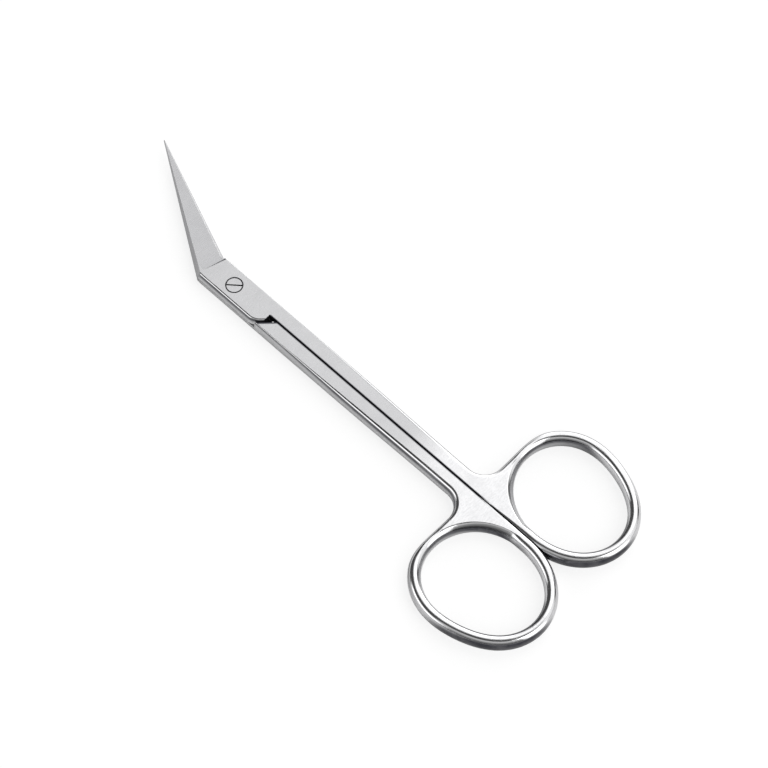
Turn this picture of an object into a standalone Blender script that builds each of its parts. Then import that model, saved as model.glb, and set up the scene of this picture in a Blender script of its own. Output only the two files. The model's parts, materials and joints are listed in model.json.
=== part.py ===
"""Angled toenail scissors: two forged half-lapped halves on a slotted pivot screw.

The frame is metres with +Z up and +Y toward the tips. The origin is on the pivot axis, in the plane
that the closed scissors lie on. Each half is described in a half frame, where +X points to its own
finger bow and its blade is in the upper half of the thickness. The upper half uses that frame as it is.
The lower half turns it 180 degrees about the line along Y at mid thickness.
"""
import math

import bmesh
import bpy
import numpy as np

# Whole tool
thickness = 0.0036
side_power = 2.2
web_side_power = 1.4
side_share = 0.4
split_gap = 0.0003
lap_gap = 0.0001

# Shanks, from the pivot to the webs of the bows
shank_length = 0.0582
web_half_width = 0.0031
shank_half_width = 0.0033
web_round = 0.00108
shank_round = 0.00084
taper_start = 0.009
taper_end = 0.032
web_run = 0.003
round_start = 0.016
round_end = 0.034

# Finger bows, and the webs that join them to the shanks
bow_radius = 0.01188
bow_stretch = 0.00105
bow_stretch_angle = math.radians(78.6)
bow_egg = 0.0002
bow_egg_angle = math.radians(35.6)
bow_drop = 0.01777
bow_lean_in = 0.00015
bow_crown_angle = math.radians(59)
bar_width = 0.00251
bar_crown_flat = 0.00008
arm_drop = 0.00439
arm_short = 0.00304
crotch_fillet = 0.0039
inner_run = 0.0078
web_outer_angle = math.radians(150)
web_inner_angle = math.radians(166)

# Lap joint: the plate round the pivot, its slanting back and the other half's shoulder behind it
joint_half_width = 0.0032
joint_round = 0.00066
joint_edge_round = 0.00036
shoulder_reach = 0.00825
shoulder_gap = 0.00025
shoulder_corner = 0.003
heel_fillet = 0.0035
relief_rise = 0.00225

# Blades, ground down from a step at the joint
blade_length = 0.03064
blade_turn = math.radians(27.2)
tip_width = 0.00035
tip_height = 0.0004
bend_outer_y = 0.0072
bend_inner_y = 0.0058
bend_fillet = 0.0012
spine_round_root = 0.0008
spine_round_tip = 0.00015
spine_inset = 0.00003
spine_bevel = math.radians(24)
spine_run_out = 0.003
edge_inset_root = 0.0002
edge_inset_tip = 0.00006
edge_bevel = math.radians(22)
grind_outer_drop = 0.0006
grind_inner_drop = 0.00015
grind_start_x = 0.0018
grind_root_depth = 0.0006
grind_step_slope = math.radians(45)

# Pivot screw, and its holes
head_radius = 0.00158
head_height = 0.0008
head_recess = 0.00003
head_chamfer = 0.00008
head_clearance = 0.0001
slot_width = 0.0003
slot_depth = 0.0004
slot_angle = math.radians(130)
thread_radius = 0.00105
thread_pitch = 0.0004
thread_depth = 0.00018
thread_clearance = 0.00007
neck_step = 0.0001
neck_clearance = 0.00006
point_chamfer = 0.0001

# Mesh steps
side_steps = 8
bow_steps = 48
arm_steps = 18
inner_steps = 12
fillet_steps = 12
shank_columns = 5
shank_steps = 48
turn_steps = 32
thread_rows = 4
head_spans = (4, 4, 2, 2, 5, 2, 2, 2, 8)
station_step = 0.0003
turn_run = 0.0006
sliver = 0.000005

STEEL = (0.78, 0.78, 0.79, 1.0)
SCREW_STEEL = (0.7, 0.7, 0.72, 1.0)

# Places that follow from the sizes
mid_z = thickness / 2
shank_end_y = -shank_length
bow_centre_x = bow_radius - bow_lean_in
bow_centre_y = shank_end_y - bow_drop
arm_edge_y = shank_end_y - arm_drop
arm_edge_end_x = bow_centre_x - arm_short
inner_straight_y = shank_end_y - inner_run
heel_depth = (shoulder_reach - shoulder_gap) * math.sqrt(2)
shoulder_depth = shoulder_reach * math.sqrt(2)
relief_y = relief_rise - shoulder_depth
blade_root_y = (bend_outer_y + bend_inner_y) / 2
tip_x = blade_length * math.sin(blade_turn)
tip_y = blade_root_y + blade_length * math.cos(blade_turn)
neck_radius = thread_radius + neck_step
beyond = 2 * (tip_y - bow_centre_y)


def clear_scene():
    """Remove every object that the file holds."""
    for old in list(bpy.data.objects):
        bpy.data.objects.remove(old, do_unlink=True)


def steel(name, colour, roughness):
    """Bare steel with a given colour and roughness."""
    material = bpy.data.materials.new(name)
    material.use_nodes = True
    shader = material.node_tree.nodes["Principled BSDF"]
    shader.inputs["Base Color"].default_value = colour
    shader.inputs["Metallic"].default_value = 1.0
    shader.inputs["Roughness"].default_value = roughness
    return material


def path_with_fillets(corners, radii):
    """Points of an open polyline whose inner corners are arcs of the given radii."""
    corners = [np.array(corner, float) for corner in corners]
    points = [corners[0]]
    for before, corner, after, radius in zip(corners, corners[1:], corners[2:], radii):
        come = (corner - before) / np.linalg.norm(corner - before)
        leave = (after - corner) / np.linalg.norm(after - corner)
        turn = math.atan2(come[0] * leave[1] - come[1] * leave[0], come @ leave)
        side = math.copysign(1.0, turn)
        start = corner - come * radius * math.tan(abs(turn) / 2)
        centre = start + side * radius * np.array([-come[1], come[0]])
        first = math.atan2(*(start - centre)[::-1])
        angles = first + np.linspace(0.0, turn, fillet_steps + 1)
        points.extend(centre + radius * np.array([math.cos(a), math.sin(a)]) for a in angles)
    points.append(corners[-1])
    return np.array(points)


def path_lengths(path):
    """Distance from the start to each point of a polyline."""
    return np.concatenate([[0.0], np.cumsum(np.linalg.norm(np.diff(path, axis=0), axis=1))])


def length_at(path, point):
    """Distance along a polyline to its place nearest a point."""
    start = path[:-1]
    run = path[1:] - start
    share = np.einsum("ij,ij->i", np.array(point) - start, run) / np.einsum("ij,ij->i", run, run)
    share = np.clip(share, 0.0, 1.0)
    nearest = start + run * share[:, None]
    best = int(np.argmin(np.linalg.norm(nearest - np.array(point), axis=1)))
    return path_lengths(path)[best] + share[best] * np.linalg.norm(run[best])


def walk(path, distances):
    """Points at distances along a polyline, and unit normals to the right of the way it runs."""
    lengths = path_lengths(path)
    distances = np.asarray(distances, float)
    reach = 2e-5

    def at(where):
        return np.stack([np.interp(where, lengths, path[:, axis]) for axis in (0, 1)], axis=1)

    ahead = at(np.minimum(distances + reach, lengths[-1]))
    behind = at(np.maximum(distances - reach, 0.0))
    tangent = (ahead - behind) / np.linalg.norm(ahead - behind, axis=1)[:, None]
    return at(distances), np.stack([tangent[:, 1], -tangent[:, 0]], axis=1)


def side_points(edge, inward, roundness, power=side_power):
    """Grid down a rounded side: superellipse |inset|^p + |rise|^p = 1 between the bottom and top flats.

    At each station the point is the outline's edge plus roundness times the inset along the inward
    normal, at mid height plus half the thickness times the rise. The power p may change by station.
    """
    angle = np.linspace(-math.pi / 2, math.pi / 2, side_steps + 1)
    power = np.broadcast_to(power, len(edge))[:, None]
    inset = 1.0 - np.abs(np.cos(angle)) ** (2 / power)
    inset[:, [0, -1]] = 1.0
    rise = np.sign(angle) * np.abs(np.sin(angle)) ** (2 / power)
    plan = edge[:, None, :] + inward[:, None, :] * (roundness[:, None] * inset)[:, :, None]
    return np.concatenate([plan, (mid_z + mid_z * rise)[:, :, None]], axis=2)


def between(first, last, spans):
    """Inner points that divide the way from first to last into equal spans at each station."""
    share = np.arange(1, spans) / spans
    return first[:, None, :] + (last - first)[:, None, :] * share[None, :, None]


def sections(left, right, spans):
    """Closed section loops: up the left side, over the top flat, down the right side and back."""
    left_side = side_points(*left)
    right_side = side_points(*right)[:, ::-1, :]
    top = between(left_side[:, -1], right_side[:, 0], spans)
    bottom = between(right_side[:, -1], left_side[:, 0], spans)
    return np.concatenate([left_side, top, right_side, bottom], axis=1)


def bridge(bm, rows, closed):
    """Quads between neighbouring rows of points."""
    made = [[bm.verts.new(point) for point in row] for row in rows]
    for row, following in zip(made, made[1:]):
        count = len(row) if closed else len(row) - 1
        for k in range(count):
            after = (k + 1) % len(row)
            bm.faces.new((row[k], row[after], following[after], following[k]))
    return made


def spread(marks, counts):
    """Stations that divide the way between successive marks into the given counts."""
    runs = [np.linspace(a, b, n, endpoint=False) for a, b, n in zip(marks, marks[1:], counts)]
    return np.concatenate(runs + [[marks[-1]]])


def bow_centreline(angle):
    """Middle of the bow's bar: a leaning oval with a slight egg shape, by angle about its centre."""
    radius = (
        bow_radius
        + bow_stretch * np.cos(2 * (angle - bow_stretch_angle))
        + bow_egg * np.cos(3 * (angle - bow_egg_angle))
    )
    return np.stack([bow_centre_x + radius * np.cos(angle), bow_centre_y + radius * np.sin(angle)], axis=-1)


def bow_edges(angle):
    """Outer and inner edge of the bar and the outward normal, by angle about the bow's centre."""
    step = 1e-4
    tangent = bow_centreline(angle + step) - bow_centreline(angle - step)
    tangent /= np.linalg.norm(tangent, axis=-1, keepdims=True)
    outward = np.stack([tangent[..., 1], -tangent[..., 0]], axis=-1)
    middle = bow_centreline(angle)
    return middle + outward * bar_width / 2, middle - outward * bar_width / 2, outward


def tip_corners(bend):
    """Tip corners on the spine side and on the edge side."""
    tip = np.array([bend * tip_x, tip_y])
    way = np.array([bend * math.sin(blade_turn), math.cos(blade_turn)])
    across = np.array([way[1], -way[0]]) * tip_width / 2
    return tip - across, tip + across


def smooth(share):
    """A share held between 0 and 1 that starts and ends level."""
    share = np.clip(share, 0.0, 1.0)
    return share**2 * (3 - 2 * share)


def shank_side():
    """Edge side of the shank: straight out of the web, a smooth step to its widest, and one to the joint."""
    y = np.linspace(shank_end_y, -taper_start, shank_steps + 1)
    swell = smooth((y - shank_end_y - web_run) / (shank_length - web_run - taper_end))
    waist = smooth((y + taper_end) / (taper_end - taper_start))
    x = web_half_width + (shank_half_width - web_half_width) * swell
    return np.column_stack([x + (joint_half_width - shank_half_width) * waist, y])


def blank_paths(bend):
    """Plan outline of the forging from the shank's end to the tip, spine side and edge side."""
    spine_tip, edge_tip = tip_corners(bend)
    spine_bend_y, edge_bend_y = bend_ys(bend)
    inner_x = -joint_round
    spine = path_with_fillets(
        [
            (inner_x, shank_end_y),
            (inner_x, -heel_depth - inner_x),
            (-joint_half_width, joint_half_width - heel_depth),
            (-joint_half_width, spine_bend_y),
            spine_tip,
        ],
        [joint_round, heel_fillet, bend_fillet],
    )
    blade = path_with_fillets(
        [(joint_half_width, -taper_start), (joint_half_width, edge_bend_y), edge_tip], [bend_fillet]
    )
    return spine, np.concatenate([shank_side(), blade[1:]])


def bend_ys(bend):
    """Where the spine side and the edge side turn from the joint into the blade."""
    return (bend_outer_y, bend_inner_y) if bend > 0 else (bend_inner_y, bend_outer_y)


def head_sections(bend):
    """Loops from the shank's end through the joint to the tip."""
    spine, edge = blank_paths(bend)
    spine_bend_y, edge_bend_y = bend_ys(bend)
    inner = -joint_round
    half = joint_half_width
    low = inner - station_step
    plate_y = half - heel_depth
    pairs = [
        ((inner, shank_end_y), (web_half_width, shank_end_y)),
        ((inner, -taper_end), (shank_half_width, -taper_end)),
        ((inner, -inner - heel_depth - station_step), (half, -heel_depth - 2 * station_step)),
        ((low, -low - heel_depth), (half, -heel_depth)),
        ((-half + joint_round * 2, plate_y - joint_round * 2), (half, plate_y - joint_round * 2)),
        ((-half, plate_y + heel_fillet / 2), (half, plate_y + heel_fillet / 2)),
        ((-half, spine_bend_y - bend_fillet), (half, edge_bend_y - bend_fillet)),
        ((-half, spine_bend_y), (half, edge_bend_y)),
    ]
    spine_marks = [length_at(spine, pair[0]) for pair in pairs]
    edge_marks = [length_at(edge, pair[1]) for pair in pairs]
    spine_marks.extend([spine_marks[-1] + turn_run, path_lengths(spine)[-1]])
    edge_marks.extend([edge_marks[-1] + turn_run, path_lengths(edge)[-1]])
    spine_at = spread(spine_marks, head_spans)
    edge_at = spread(edge_marks, head_spans)
    left_edge, left_in = walk(spine, spine_at)
    right_edge, right_in = walk(edge, edge_at)
    width = np.linalg.norm(right_edge - left_edge, axis=1)
    spine_round = np.interp(
        spine_at,
        [spine_marks[-4], spine_marks[-2], spine_marks[-1]],
        [joint_round, spine_round_root, spine_round_tip],
    )
    edge_round = np.interp(
        right_edge[:, 1],
        [shank_end_y, -round_end, -round_start],
        [web_round, shank_round, joint_edge_round],
    )
    spine_round = np.minimum(spine_round, side_share * width)
    edge_round = np.minimum(edge_round, side_share * width)
    return sections((left_edge, left_in, spine_round), (right_edge, -right_in, edge_round), shank_columns)


def bow_rows(shank_loop):
    """Loops round the bow, and the rows that join it to the shank's end loop."""
    arm = path_with_fillets(
        [(web_half_width, shank_end_y), (web_half_width, arm_edge_y), (arm_edge_end_x, arm_edge_y)],
        [crotch_fillet],
    )
    crown_edge, _, crown_out = bow_edges(np.array([bow_crown_angle]))
    share = np.linspace(0.0, 1.0, arm_steps)[1:, None]
    start, end = arm[-1], crown_edge[0]
    pull = np.linalg.norm(end - start)
    start_way = np.array([1.0, 0.0]) * pull
    end_way = np.array([crown_out[0, 1], -crown_out[0, 0]]) * pull
    lead = (
        (2 * share**3 - 3 * share**2 + 1) * start
        + (share**3 - 2 * share**2 + share) * start_way
        + (3 * share**2 - 2 * share**3) * end
        + (share**3 - share**2) * end_way
    )
    arm = np.concatenate([arm, lead])
    arm_at = np.linspace(0.0, path_lengths(arm)[-1], arm_steps + 1)[:-1]
    arm_edge, arm_right = walk(arm, arm_at)
    arm_share = arm_at / path_lengths(arm)[-1]
    arm_hole_angle = web_outer_angle + (bow_crown_angle - web_outer_angle) * arm_share

    round_angle = np.linspace(bow_crown_angle, -math.pi, bow_steps)
    round_edge, _, round_out = bow_edges(round_angle)

    inner_y = np.linspace(round_edge[-1, 1], shank_end_y, inner_steps + 1)[1:]
    inner_x = np.interp(inner_y, [round_edge[-1, 1], inner_straight_y], [round_edge[-1, 0], -joint_round])
    inner_edge = np.stack([inner_x, inner_y], axis=1)
    inner_share = np.linspace(0.0, 1.0, inner_steps + 1)[1:]
    inner_hole_angle = -math.pi - (math.pi - web_inner_angle) * inner_share

    edge = np.concatenate([arm_edge, round_edge, inner_edge])
    inward = np.concatenate([arm_right, -round_out, np.tile([1.0, 0.0], (len(inner_edge), 1))])
    hole_angle = np.concatenate([arm_hole_angle, round_angle, inner_hole_angle])
    _, hole, hole_out = bow_edges(hole_angle)
    crown_round = (bar_width - bar_crown_flat) / 2
    outer_round = np.concatenate([
        web_round + (crown_round - web_round) * smooth(arm_share),
        np.full(len(round_edge), crown_round),
        crown_round + (joint_round - crown_round) * smooth(inner_share),
    ])
    hole_power = np.concatenate([
        web_side_power + (side_power - web_side_power) * smooth(arm_share),
        np.full(len(round_edge), side_power),
        side_power + (web_side_power - side_power) * smooth(inner_share),
    ])
    hole_round = np.full(len(edge), crown_round)
    loops = sections((edge, inward, outer_round), (hole, hole_out, hole_round, hole_power), 1)

    top_row = shank_loop[side_steps: side_steps + shank_columns + 1]
    bottom_row = np.concatenate([shank_loop[:1], shank_loop[-shank_columns:][::-1]])
    web_angle = np.linspace(web_inner_angle, web_outer_angle, shank_columns + 1)
    _, web_hole, web_out = bow_edges(web_angle)
    web_round_by = np.full(len(web_hole), crown_round)
    web_side = side_points(web_hole, web_out, web_round_by, web_side_power)[:, ::-1, :]
    return loops, top_row, bottom_row, web_side


def blank(name, bend):
    """Closed mesh of the forging before it is ground, in the half frame."""
    bm = bmesh.new()
    head = head_sections(bend)
    made = bridge(bm, head, closed=True)
    bm.faces.new(made[-1])
    loops, top_row, bottom_row, web_side = bow_rows(head[0])
    bridge(bm, loops, closed=True)
    web = np.concatenate([top_row[:, None, :], web_side, bottom_row[:, None, :]], axis=1)
    bridge(bm, web, closed=False)
    bmesh.ops.remove_doubles(bm, verts=bm.verts, dist=2e-6)
    bmesh.ops.recalc_face_normals(bm, faces=bm.faces)
    return finish_mesh(bm, name)


def finish_mesh(bm, name):
    """Turn a bmesh into a named object in the scene."""
    mesh = bpy.data.meshes.new(name)
    bm.to_mesh(mesh)
    bm.free()
    made = bpy.data.objects.new(name, mesh)
    bpy.context.collection.objects.link(made)
    return made


def hull(name, points):
    """Convex solid round a few points."""
    bm = bmesh.new()
    for point in points:
        bm.verts.new(point)
    bmesh.ops.convex_hull(bm, input=bm.verts)
    bmesh.ops.recalc_face_normals(bm, faces=bm.faces)
    return finish_mesh(bm, name)


def prism(name, outline, low, high):
    """Solid with a plan outline between two heights."""
    bm = bmesh.new()
    base = bm.faces.new([bm.verts.new((x, y, low)) for x, y in outline])
    grown = bmesh.ops.extrude_face_region(bm, geom=[base])
    tops = [item for item in grown["geom"] if isinstance(item, bmesh.types.BMVert)]
    bmesh.ops.translate(bm, verts=tops, vec=(0.0, 0.0, high - low))
    bmesh.ops.recalc_face_normals(bm, faces=bm.faces)
    return finish_mesh(bm, name)


def turned(name, profile):
    """Solid of revolution about Z from (radius, height) points, closed on the axis at both ends."""
    bm = bmesh.new()
    angles = np.linspace(0.0, 2 * math.pi, turn_steps, endpoint=False)
    rings = [[(r * math.cos(a), r * math.sin(a), z) for a in angles] for r, z in profile]
    made = bridge(bm, rings, closed=True)
    bm.faces.new(made[0])
    bm.faces.new(made[-1])
    bmesh.ops.recalc_face_normals(bm, faces=bm.faces)
    return finish_mesh(bm, name)


def thread_skin(bm, major, low, high, before, after):
    """Turned solid about Z whose middle is a thread, with (radius, height) rings before and after it.

    The rows of the thread climb one pitch per turn, so each crest is one row. A row past an end is
    held at that end, and the points that meet there are merged.
    """
    first = math.floor(low / thread_pitch) - 1
    turns = math.ceil(high / thread_pitch) + 1 - first
    rows = np.arange(turns * thread_rows + 1)
    columns = []
    for column in range(turn_steps):
        share = column / turn_steps
        height = np.clip((first + rows / thread_rows + share) * thread_pitch, low, high)
        phase = (height / thread_pitch - share) % 1.0
        radius = major - thread_depth * (1.0 - np.abs(2.0 * phase - 1.0))
        rings = [*before, *zip(radius, height), *after]
        angle = share * 2 * math.pi
        columns.append([bm.verts.new((r * math.cos(angle), r * math.sin(angle), z)) for r, z in rings])
    start, end = len(before), len(before) + len(rows) - 1
    for column in range(turn_steps):
        here = columns[column]
        there = columns[(column + 1) % turn_steps]
        wrap = thread_rows if column == turn_steps - 1 else 0
        climbed = [min(k + wrap, end) if start <= k <= end else k for k in range(len(here))]
        for k in range(len(here) - 1):
            corners = [here[k], here[k + 1], there[climbed[k + 1]], there[climbed[k]]]
            corners = list(dict.fromkeys(corners))
            if len(corners) > 2:
                bm.faces.new(corners)
    bm.faces.new([column[0] for column in columns])
    bm.faces.new([column[-1] for column in columns])
    bmesh.ops.remove_doubles(bm, verts=bm.verts, dist=1e-7)
    bmesh.ops.recalc_face_normals(bm, faces=bm.faces)


def cut(target, cutter):
    """Take a cutter's solid out of the target and leave the cutter as a guide."""
    step = target.modifiers.new(cutter.name, "BOOLEAN")
    step.operation = "DIFFERENCE"
    step.solver = "EXACT"
    step.object = cutter
    cutter.hide_render = True
    cutter.display_type = "WIRE"


def grind_plane(bend):
    """Three points of the ground blade face: spine side of the step, edge side of the step, and tip."""
    outer_y = bend_outer_y - grind_outer_drop
    inner_y = bend_inner_y - grind_inner_drop
    spine_y, edge_y = (outer_y, inner_y) if bend > 0 else (inner_y, outer_y)
    spine_point = np.array([-grind_start_x, spine_y, thickness])
    edge_point = np.array([joint_half_width, edge_y, thickness - grind_root_depth])
    tip_point = np.array([bend * tip_x, tip_y, mid_z + lap_gap / 2 + tip_height])
    return spine_point, edge_point, tip_point


def side_bevel(name, root, tip, left, insets, lean, run_out):
    """Solid outside a leaning plane along one side of the blade, above and below the lap face.

    The plane stands off the outline by one inset at the root and one at the tip, measured on the lap
    face, and leans over the blade. left is 1 where the blade lies to the left of the way from root to
    tip, and -1 where it lies to the right.
    """
    root, tip = np.array(root), np.array(tip)
    way = (tip - root) / np.linalg.norm(tip - root)
    inward = left * np.array([-way[1], way[0]])
    start = root + inward * insets[0]
    end = tip + inward * insets[1]
    run = end - start
    points = []
    for place in (start - way * run_out, end + run):
        for rise in (-thickness, thickness):
            height = mid_z + lap_gap / 2 + rise
            points.append((*(place + inward * rise * math.tan(lean)), height))
            points.append((*(place - inward * 2 * thickness), height))
    return hull(name, points)


def half_cutters(name, bend):
    """Everything that is ground or bored out of one forging, in the half frame."""
    low, high = -thickness, 2 * thickness
    lap_z = mid_z + lap_gap / 2
    split_x = split_gap / 2
    split = prism(
        name + "_split_cut",
        [(-beyond, -beyond), (split_x, -beyond), (split_x, relief_y), (-beyond, relief_y)],
        low,
        high,
    )
    outside = -split_gap
    lap_edge = path_with_fillets(
        [(outside, -beyond), (outside, outside - shoulder_depth), (beyond, beyond - shoulder_depth)],
        [shoulder_corner],
    )
    lap_outline = [(-beyond, -beyond), *lap_edge, (beyond, beyond), (-beyond, beyond)]
    lap = prism(name + "_lap_cut", lap_outline, low, lap_z)

    spine_point, edge_point, tip_point = grind_plane(bend)
    across = edge_point - spine_point
    along = tip_point - (spine_point + edge_point) / 2
    base = [
        spine_point - across * 2,
        edge_point + across * 2,
        edge_point + across * 2 + along * 2,
        spine_point - across * 2 + along * 2,
    ]
    lift = 2 * thickness
    back = along[:2] / np.linalg.norm(along[:2]) * lift / math.tan(grind_step_slope)
    tops = [point + np.array([*(-back if k < 2 else back), lift]) for k, point in enumerate(base)]
    grind = hull(name + "_grind_cut", base + tops)

    spine_tip, edge_tip = tip_corners(bend)
    spine_bend_y, edge_bend_y = bend_ys(bend)
    edge_root = (joint_half_width, edge_bend_y)
    spine_root = (-joint_half_width, spine_bend_y)
    edge_insets = (edge_inset_root, edge_inset_tip)
    spine_insets = (spine_inset, spine_inset)
    edge = side_bevel(name + "_edge_cut", edge_root, edge_tip, 1, edge_insets, edge_bevel, 0.0)
    spine = side_bevel(
        name + "_spine_cut", spine_root, spine_tip, -1, spine_insets, spine_bevel, spine_run_out
    )
    return [grind, edge, spine, split, lap]


def make_half(name, bend, material):
    """One half of the scissors with its cutters as live modifiers, in the half frame."""
    half = blank(name, bend)
    half.data.materials.append(material)
    cutters = half_cutters(name, bend)
    for cutter in cutters:
        cut(half, cutter)
    return half, cutters


def screw_profile():
    """Radius and height pairs of the screw above its thread, from the lap plane to the slotted face."""
    seat_z = thickness - head_recess - head_height
    top_z = thickness - head_recess
    return [
        (neck_radius, mid_z),
        (neck_radius, seat_z),
        (head_radius, seat_z),
        (head_radius, top_z - head_chamfer),
        (head_radius - head_chamfer, top_z),
    ]


def make_screw(material):
    """Slotted pivot screw: thread in the lower half, plain neck in the upper half, flush head."""
    bm = bmesh.new()
    core = thread_radius - thread_depth
    end_ring = [(core - point_chamfer, 0.0)]
    thread_skin(bm, thread_radius, point_chamfer, mid_z - lap_gap, end_ring, screw_profile())
    screw = finish_mesh(bm, "pivot_screw")
    screw.data.materials.append(material)
    way = np.array([math.cos(slot_angle), math.sin(slot_angle)])
    side = np.array([-way[1], way[0]]) * slot_width / 2
    reach = way * 2 * head_radius
    corners = [reach + side, reach - side, -reach - side, side - reach]
    top_z = thickness - head_recess
    cut(screw, prism("slot_cut", corners, top_z - slot_depth, top_z + thickness))
    return screw


def upper_bore():
    """Counterbore and plain hole through the upper half."""
    seat_z = thickness - head_recess - head_height - head_clearance
    bore = neck_radius + neck_clearance
    wide = head_radius + head_clearance
    return turned("upper_bore_cut", [(bore, 0.0), (bore, seat_z), (wide, seat_z), (wide, 2 * thickness)])


def lower_bore():
    """Tapped hole through the lower half: the thread's form with a clearance all round."""
    bm = bmesh.new()
    low, high = -2 * thread_pitch, mid_z + thread_pitch
    core = thread_radius - thread_depth
    bottom = [(core, low - thread_pitch)]
    top = [(core, high + thread_pitch)]
    thread_skin(bm, thread_radius + thread_clearance, low, high, bottom, top)
    return finish_mesh(bm, "lower_bore_cut")


def finish(piece):
    """Merge the slivers that the cuts leave, and shade smooth all but the ground edges."""
    weld = piece.modifiers.new("merge_slivers", "WELD")
    weld.merge_threshold = sliver
    piece.data.shade_smooth()
    piece.data.set_sharp_from_angle(angle=math.radians(30))


def main():
    """Build the two halves and the screw."""
    clear_scene()
    brushed = steel("brushed_steel", STEEL, 0.3)
    turned_steel = steel("screw_steel", SCREW_STEEL, 0.25)

    upper, _ = make_half("upper_half", 1, brushed)
    cut(upper, upper_bore())

    lower, lower_cutters = make_half("lower_half", -1, brushed)
    turn = bpy.data.objects.new("lower_half_frame", None)
    bpy.context.collection.objects.link(turn)
    turn.location = (0.0, 0.0, thickness)
    turn.rotation_euler = (0.0, math.pi, 0.0)
    for piece in [lower, *lower_cutters]:
        piece.parent = turn
    cut(lower, lower_bore())

    screw = make_screw(turned_steel)
    for piece in (upper, lower, screw):
        finish(piece)


main()
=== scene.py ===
"""Looks of slender angled nail scissors: brushed flats, polished round sides, and a slotted pivot screw.

Sizes are metres in the frame's axes: +Z up, +Y toward the tips, the pivot axis at the origin. Each half
is worked out in a half frame, where +X points to its own finger bow and its blade lies in the upper half
of the thickness. The upper half uses that frame as it is, and the lower half turns it over about the
line along Y at mid thickness.
"""
import json
import math

import bmesh
import bpy
import numpy as np
from mathutils import Matrix, Vector

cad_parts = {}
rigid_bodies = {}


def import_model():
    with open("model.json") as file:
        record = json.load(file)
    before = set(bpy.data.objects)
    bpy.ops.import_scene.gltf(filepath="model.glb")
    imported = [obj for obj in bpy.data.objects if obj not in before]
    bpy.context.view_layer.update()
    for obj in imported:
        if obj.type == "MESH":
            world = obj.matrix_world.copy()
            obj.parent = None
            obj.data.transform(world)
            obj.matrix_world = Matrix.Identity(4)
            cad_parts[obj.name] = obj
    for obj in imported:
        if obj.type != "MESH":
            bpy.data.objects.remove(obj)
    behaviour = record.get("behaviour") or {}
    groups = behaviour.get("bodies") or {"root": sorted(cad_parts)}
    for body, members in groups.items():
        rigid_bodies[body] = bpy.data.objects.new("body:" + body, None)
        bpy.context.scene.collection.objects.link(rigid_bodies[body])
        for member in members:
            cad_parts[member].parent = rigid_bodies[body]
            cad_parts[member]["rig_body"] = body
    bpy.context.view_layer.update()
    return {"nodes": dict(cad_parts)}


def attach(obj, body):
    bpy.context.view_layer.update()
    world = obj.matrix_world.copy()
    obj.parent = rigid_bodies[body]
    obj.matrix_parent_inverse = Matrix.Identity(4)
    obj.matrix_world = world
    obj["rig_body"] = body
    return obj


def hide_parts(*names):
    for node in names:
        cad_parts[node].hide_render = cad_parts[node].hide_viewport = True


# Whole tool
thickness = 0.0036
side_power = 2.2
web_side_power = 1.4
side_share = 0.4
split_gap = 0.0003
lap_gap = 0.0001

# Shanks, from the pivot to the webs of the bows
shank_length = 0.0582
web_half_width = 0.0031
shank_half_width = 0.0033
web_round = 0.00108
shank_round = 0.00084
taper_start = 0.009
taper_end = 0.032
web_run = 0.003
round_start = 0.016
round_end = 0.034

# Finger bows, and the webs that join them to the shanks
bow_radius = 0.01188
bow_stretch = 0.00105
bow_stretch_angle = math.radians(78.6)
bow_egg = 0.0002
bow_egg_angle = math.radians(35.6)
bow_drop = 0.01777
bow_lean_in = 0.00015
bow_crown_angle = math.radians(59)
bar_width = 0.00251
bar_crown_flat = 0.00008
outline_trim = 0.000011
arm_drop = 0.00439
arm_short = 0.00304
crotch_fillet = 0.0039
inner_run = 0.0078
web_outer_angle = math.radians(150)
web_inner_angle = math.radians(166)

# Lap joint: the plate round the pivot, its slanting back and the other half's shoulder behind it
joint_half_width = 0.0032
joint_round = 0.00066
joint_edge_round = 0.00036
shoulder_reach = 0.00825
shoulder_gap = 0.00025
shoulder_corner = 0.003
heel_fillet = 0.0035
relief_rise = 0.00225

# Blades, ground down from a step at the joint
blade_length = 0.030638
blade_turn = math.radians(27.2)
tip_width = 0.00035
tip_height = 0.0004
bend_outer_y = 0.0072
bend_inner_y = 0.0058
bend_fillet = 0.0012
spine_round_root = 0.0008
spine_round_tip = 0.00015
spine_inset = 0.00003
spine_bevel = math.radians(24)
spine_run_out = 0.003
edge_inset_root = 0.0002
edge_inset_tip = 0.00006
edge_bevel = math.radians(22)
grind_outer_drop = 0.0006
grind_inner_drop = 0.00015
grind_start_x = 0.0018
grind_root_depth = 0.0006
grind_step_slope = math.radians(45)

# Pivot screw, and its holes
head_radius = 0.00158
head_height = 0.0008
head_recess = 0.00003
head_chamfer = 0.00008
head_clearance = 0.0001
rim_chamfer = 0.00008
slot_width = 0.0003
slot_depth = 0.0004
slot_angle = math.radians(130)
thread_radius = 0.00105
thread_pitch = 0.0004
thread_depth = 0.00018
thread_clearance = 0.00007
neck_step = 0.0001
neck_clearance = 0.00006
point_chamfer = 0.0001

# Mesh steps
side_steps = 32
bow_steps = 240
arm_steps = 90
inner_steps = 48
fillet_steps = 36
shank_columns = 6
shank_steps = 120
turn_steps = 96
thread_rows = 6
head_spans = (10, 10, 6, 6, 24, 8, 4, 14, 24)
station_step = 0.0003
turn_run = 0.0006
walk_reach = 0.00002
angle_reach = 0.0001
sliver = 0.000004

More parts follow.
